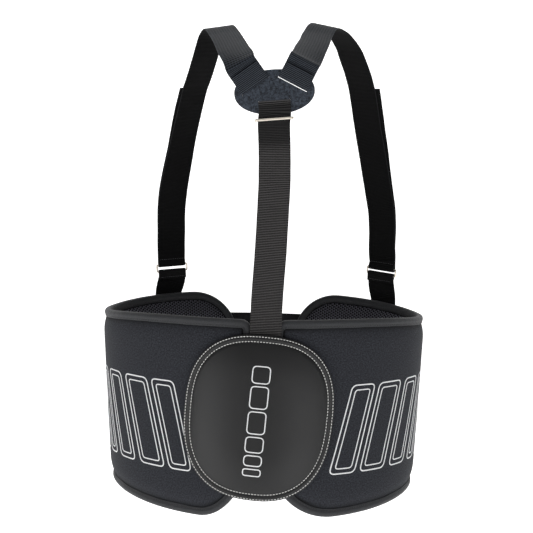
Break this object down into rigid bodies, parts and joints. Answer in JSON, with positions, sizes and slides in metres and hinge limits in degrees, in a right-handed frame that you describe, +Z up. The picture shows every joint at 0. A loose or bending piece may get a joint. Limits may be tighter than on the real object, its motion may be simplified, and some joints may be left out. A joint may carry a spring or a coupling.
{
  "type": "rib protector with shoulder harness",
  "caption": "Padded rib belt in worn form, open at back and front, with a spine pad and webbing harness joined at an oval yoke plate.",
  "frame": {"origin": "where the harness hangs on the wearer: midway between the undersides of the two shoulder crests", "axes": "+Z up, +X to the wearer's right, -Y to the wearer's back"},
  "size_m": [0.4177, 0.3199, 0.6087],
  "materials": {
    "neoprene": "brushed black neoprene-backed polyester",
    "spacer_mesh": "black warp-knit spacer mesh",
    "binding_tape": "dark grey woven binding tape, slight sheen",
    "vinyl": "black vinyl-coated fabric, soft sheen",
    "webbing": "black polyester webbing",
    "suede": "dark grey split leather",
    "nickel": "bright nickel-plated steel wire",
    "elastic": "black woven elastic"
  },
  "bodies": {
    "root": {"rib_panel_left": "neoprene", "mesh_lining_left": "spacer_mesh", "binding_left": "binding_tape", "rib_panel_right": "neoprene", "mesh_lining_right": "spacer_mesh", "binding_right": "binding_tape", "spine_panel": "vinyl", "back_strap": "webbing", "back_ring": "nickel", "yoke_plate": "suede", "shoulder_strap_left": "webbing", "ring_left": "nickel", "front_tab_left": "webbing", "shoulder_strap_right": "webbing", "ring_right": "nickel", "front_tab_right": "webbing", "closure_strap": "elastic"}
  },
  "joints": []
}
